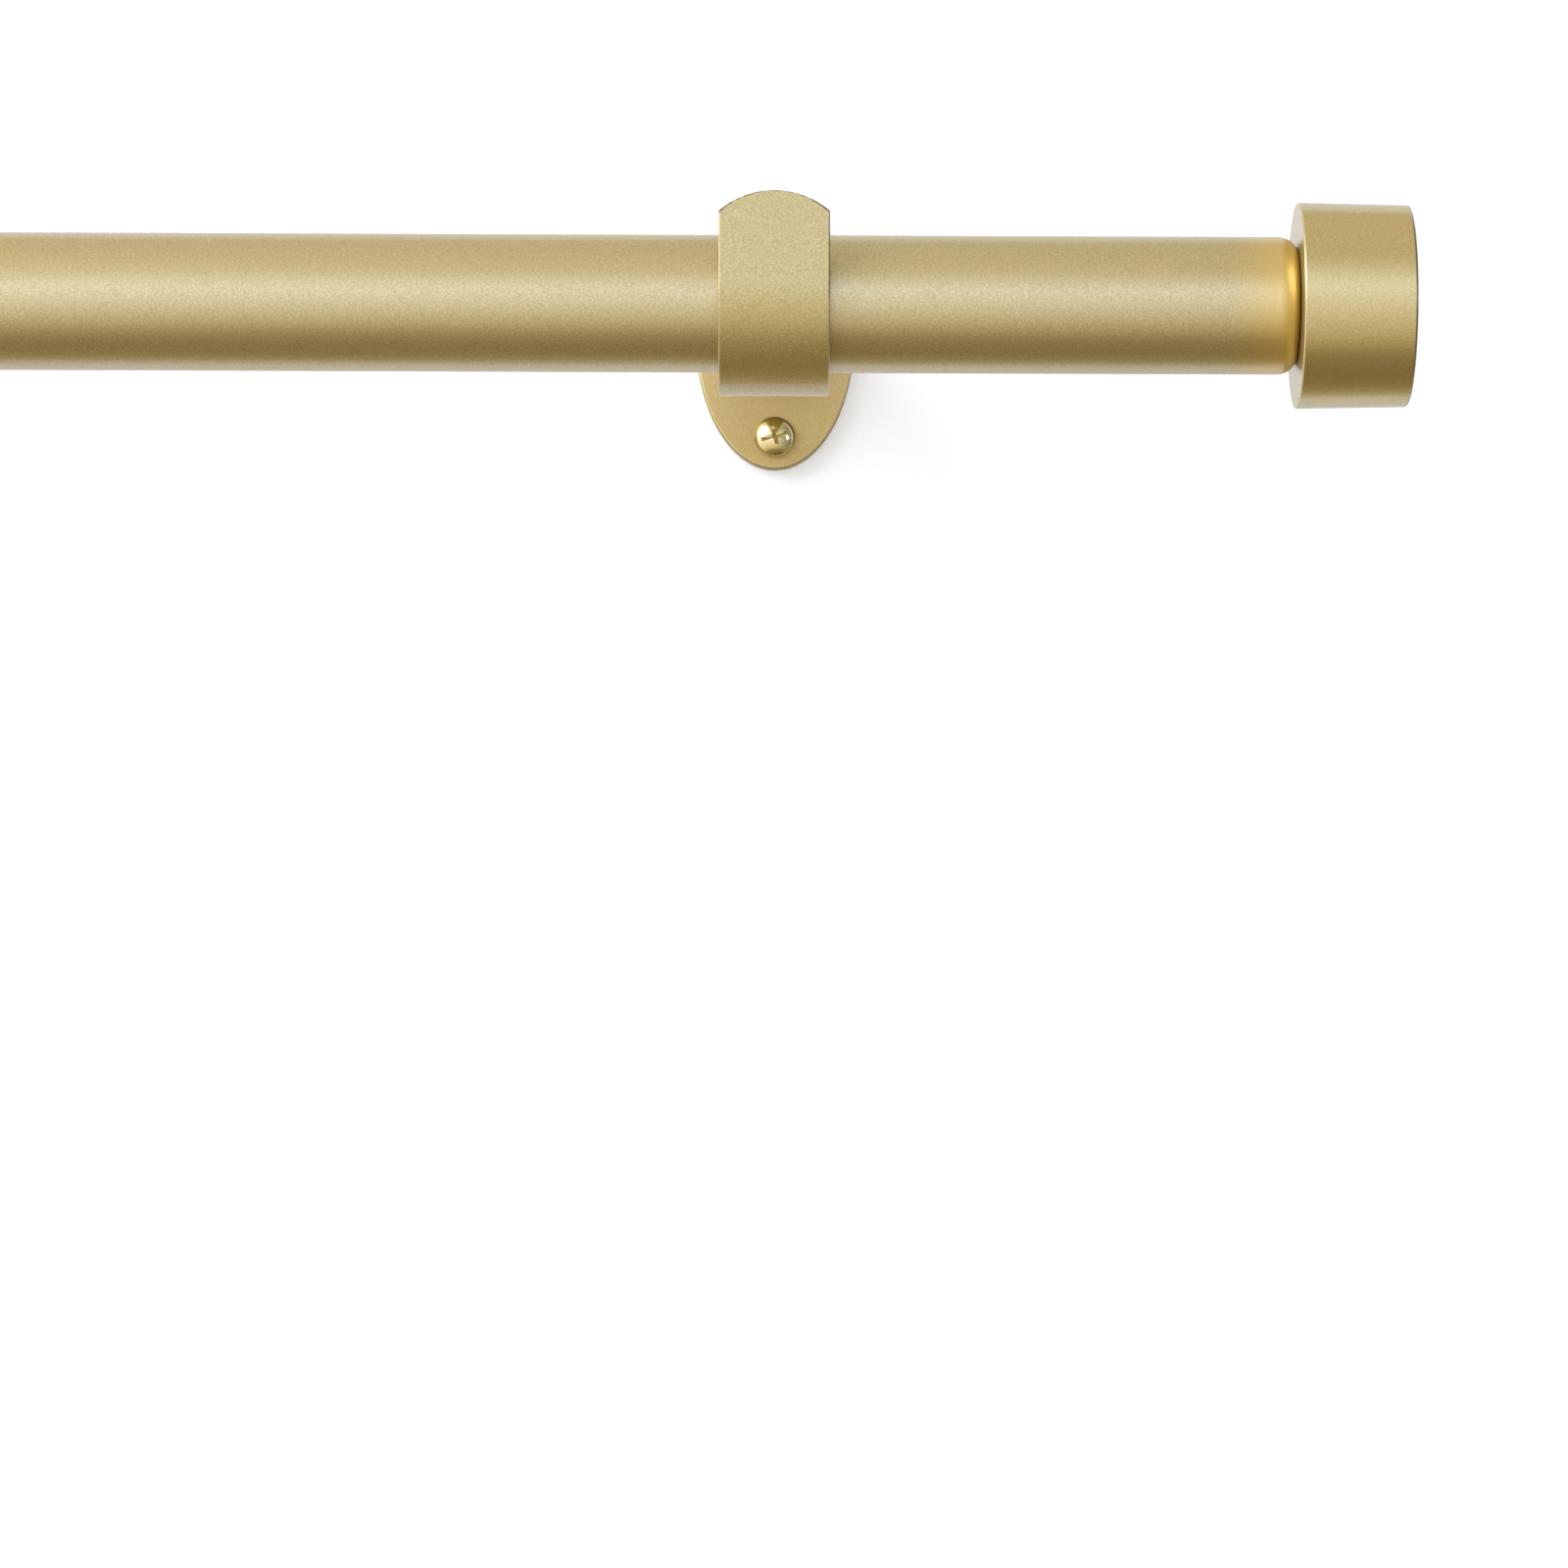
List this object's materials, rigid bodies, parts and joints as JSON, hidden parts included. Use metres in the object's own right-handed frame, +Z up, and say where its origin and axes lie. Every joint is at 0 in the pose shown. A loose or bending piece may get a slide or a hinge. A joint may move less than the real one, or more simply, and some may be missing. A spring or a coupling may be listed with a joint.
{
  "type": "curtain rod",
  "caption": "Adjustable curtain rod: telescoping round tubes with drum end caps, held in flat strip hook brackets with thumbscrews on oval wall plates.",
  "frame": {"origin": "on the wall, midway between the two wall plates, at the height of the bracket arms and plate centres", "axes": "+X along the rod towards the outer tube's closed end, +Y into the wall, +Z up"},
  "size_m": [0.7526, 0.1561, 0.0602],
  "materials": {
    "satin_gold": "satin metallic gold paint",
    "plated_brass": "bright plated",
    "nylon": "natural moulded nylon",
    "zinc_steel": "zinc plated steel"
  },
  "bodies": {
    "mounted_rod": {"outer_tube": "satin_gold", "right_end_insert": "nylon", "right_finial_stud": "zinc_steel", "right_finial_cap": "satin_gold", "left_bracket_arm": "satin_gold", "right_bracket_arm": "satin_gold", "left_wall_plate": "satin_gold", "right_wall_plate": "satin_gold", "left_upper_wall_screw": "plated_brass", "left_lower_wall_screw": "plated_brass", "right_upper_wall_screw": "plated_brass", "right_lower_wall_screw": "plated_brass"},
    "sliding_rod": {"inner_tube": "satin_gold", "glide_bush": "nylon", "left_end_insert": "nylon", "left_finial_stud": "zinc_steel", "left_finial_cap": "satin_gold"},
    "left_thumbscrew": {"left_thumbscrew": "plated_brass"},
    "right_thumbscrew": {"right_thumbscrew": "plated_brass"}
  },
  "joints": [
    {"name": "rod_extension", "type": "slide", "parent": "mounted_rod", "child": "sliding_rod", "axis": [-1, 0, 0], "range_m": [0, 0.508]},
    {"name": "left_thumbscrew_travel", "type": "slide", "parent": "mounted_rod", "child": "left_thumbscrew", "axis": [0, 0.893, -0.4501], "range_m": [0, 0.006]},
    {"name": "right_thumbscrew_travel", "type": "slide", "parent": "mounted_rod", "child": "right_thumbscrew", "axis": [0, 0.893, -0.4501], "range_m": [0, 0.006]}
  ]
}
